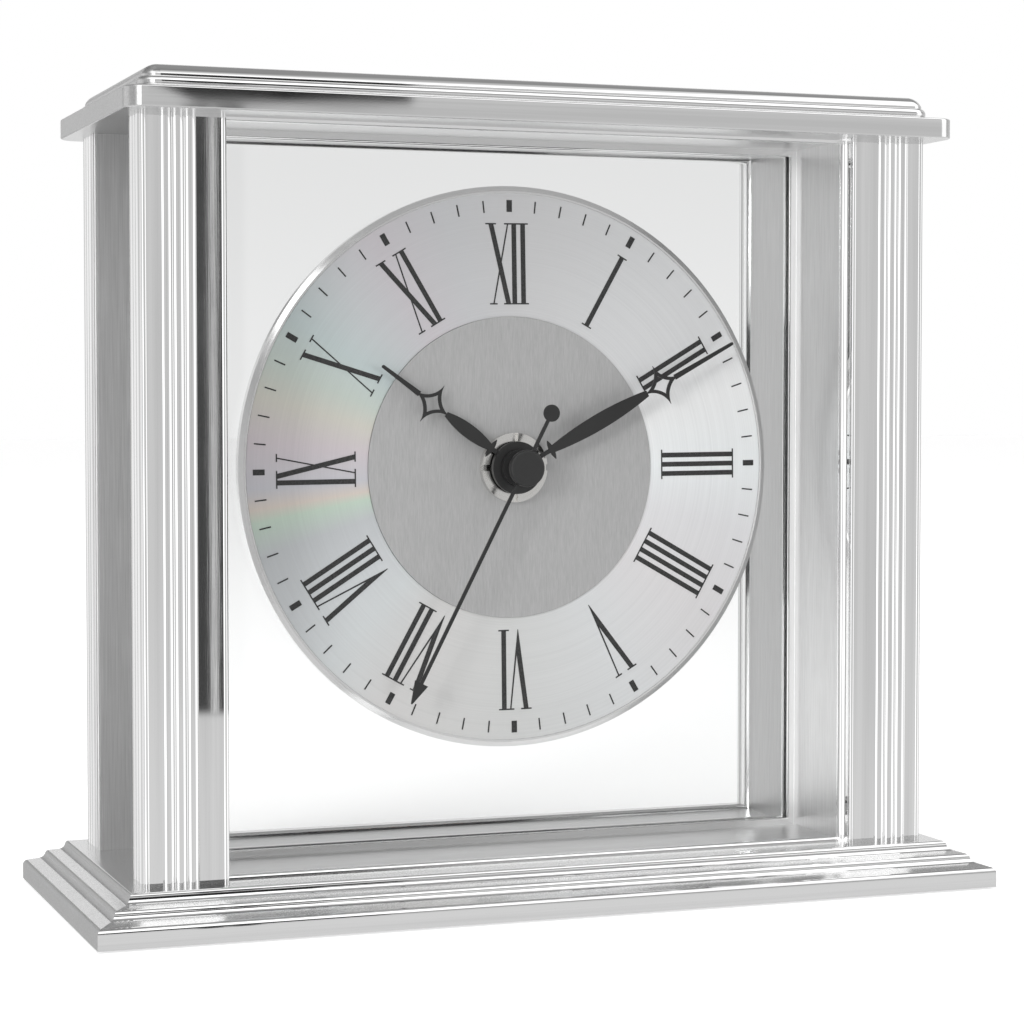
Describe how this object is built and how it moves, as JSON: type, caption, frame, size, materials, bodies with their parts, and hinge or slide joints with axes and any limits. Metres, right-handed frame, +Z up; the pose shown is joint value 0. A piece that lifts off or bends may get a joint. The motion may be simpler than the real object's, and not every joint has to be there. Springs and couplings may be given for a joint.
{
  "type": "mantel clock",
  "caption": "Mantel clock with ribbed corner columns between a stepped plinth and a cornice, a round dial on a glass pane, pierced hands and a battery movement behind.",
  "frame": {"origin": "middle of the underside, on the surface that the clock stands on", "axes": "+Z up, -Y out of the dial towards the viewer, +X to the viewer's right"},
  "size_m": [0.1622, 0.069, 0.1416],
  "materials": {
    "plinth_metal": "polished, with a slightly satin foot",
    "felt": "dense short felt",
    "screw_steel": "zinc plated",
    "column_metal": "bright extruded ribs with lightly brushed flats",
    "cornice_metal": "satin polished",
    "cap_metal": "polished",
    "rail_metal": "satin extrusion",
    "glass": "clear float glass with polished edges",
    "dial_metal": "satin with a polished rim",
    "ring_foil": "spun, with a faint play of colours",
    "disc_foil": "straight brushed",
    "ink": "printed black",
    "soft_washer": "dark foam",
    "rubber": "matt black",
    "nut_plate": "nickel plated",
    "hand_black": "satin black lacquer",
    "case_plastic": "fine textured black",
    "plate_plastic": "moulded white",
    "wheel_plastic": "moulded ivory",
    "board": "green lacquered board",
    "chip": "black resin",
    "crystal_can": "tinned can",
    "copper_wire": "enamelled copper wire",
    "soft_iron": "annealed sheet",
    "magnet": "sintered magnet",
    "battery_sleeve": "plain printed sleeve with no wording",
    "terminal_steel": "nickel plated spring strip"
  },
  "bodies": {
    "case": {"base_plinth": "plinth_metal", "base_felt": "felt", "base_screws": "screw_steel", "column_front_left": "column_metal", "column_front_right": "column_metal", "column_rear_left": "column_metal", "column_rear_right": "column_metal", "cornice": "cornice_metal", "cornice_screws": "screw_steel", "top_cap": "cap_metal", "cap_screws": "screw_steel", "rail_top": "rail_metal", "rail_bottom": "rail_metal", "rail_left": "rail_metal", "rail_right": "rail_metal", "glass_pane": "glass", "dial_plate": "dial_metal", "chapter_ring": "ring_foil", "centre_disc": "disc_foil", "dial_numerals": "ink", "minute_marks": "ink", "dial_washer": "soft_washer", "rubber_washer": "rubber", "dial_nut": "nut_plate", "movement_case": "case_plastic", "movement_cover": "case_plastic", "train_plate": "plate_plastic", "circuit_board": "board", "control_chip": "chip", "quartz_crystal": "crystal_can", "coil_bobbin": "plate_plastic", "coil_winding": "copper_wire", "coil_core": "soft_iron", "stator": "soft_iron", "contact_positive": "terminal_steel", "contact_negative": "terminal_steel"},
    "minute": {"minute_hand": "hand_black", "minute_pipe": "wheel_plastic"},
    "hour": {"hour_hand": "hand_black", "hour_wheel": "wheel_plastic"},
    "setting": {"setting_knob": "case_plastic", "motion_wheel": "wheel_plastic"},
    "second": {"second_hand": "hand_black", "second_cap": "hand_black", "second_wheel": "wheel_plastic"},
    "rotor": {"rotor": "magnet"},
    "intermediate": {"intermediate_wheel": "wheel_plastic"},
    "third": {"third_wheel": "wheel_plastic"},
    "centre": {"centre_wheel": "wheel_plastic"},
    "battery": {"battery": "battery_sleeve", "battery_terminals": "terminal_steel"}
  },
  "joints": [
    {"name": "minute_turn", "type": "hinge", "parent": "case", "child": "minute", "pos_m": [0, 0, 0.0755], "axis": [0, 1, 0], "continuous": true},
    {"name": "hour_turn", "type": "hinge", "parent": "case", "child": "hour", "pos_m": [0, 0, 0.0755], "axis": [0, 1, 0], "continuous": true},
    {"name": "setting_turn", "type": "hinge", "parent": "case", "child": "setting", "pos_m": [-0.009, 0, 0.0755], "axis": [0, 1, 0], "continuous": true},
    {"name": "second_turn", "type": "hinge", "parent": "case", "child": "second", "pos_m": [0, 0, 0.0755], "axis": [0, 1, 0], "continuous": true},
    {"name": "rotor_turn", "type": "hinge", "parent": "case", "child": "rotor", "pos_m": [0.0143, 0, 0.07721], "axis": [0, 1, 0], "continuous": true},
    {"name": "intermediate_turn", "type": "hinge", "parent": "case", "child": "intermediate", "pos_m": [0.00855, 0, 0.07239], "axis": [0, 1, 0], "continuous": true},
    {"name": "third_turn", "type": "hinge", "parent": "case", "child": "third", "pos_m": [0.0045, 0, 0.08329], "axis": [0, 1, 0], "continuous": true},
    {"name": "centre_turn", "type": "hinge", "parent": "case", "child": "centre", "pos_m": [0, 0, 0.0755], "axis": [0, 1, 0], "continuous": true},
    {"name": "battery_out", "type": "slide", "parent": "case", "child": "battery", "axis": [0, 1, 0], "range_m": [0, 0.03]}
  ],
  "couplings": [
    {"joint": "hour_turn", "follows": "minute_turn", "ratio": 0.083333},
    {"joint": "setting_turn", "follows": "minute_turn", "ratio": -0.33333},
    {"joint": "rotor_turn", "follows": "second_turn", "ratio": 30},
    {"joint": "intermediate_turn", "follows": "second_turn", "ratio": -6},
    {"joint": "third_turn", "follows": "second_turn", "ratio": -0.13333},
    {"joint": "centre_turn", "follows": "second_turn", "ratio": 0.016667}
  ]
}
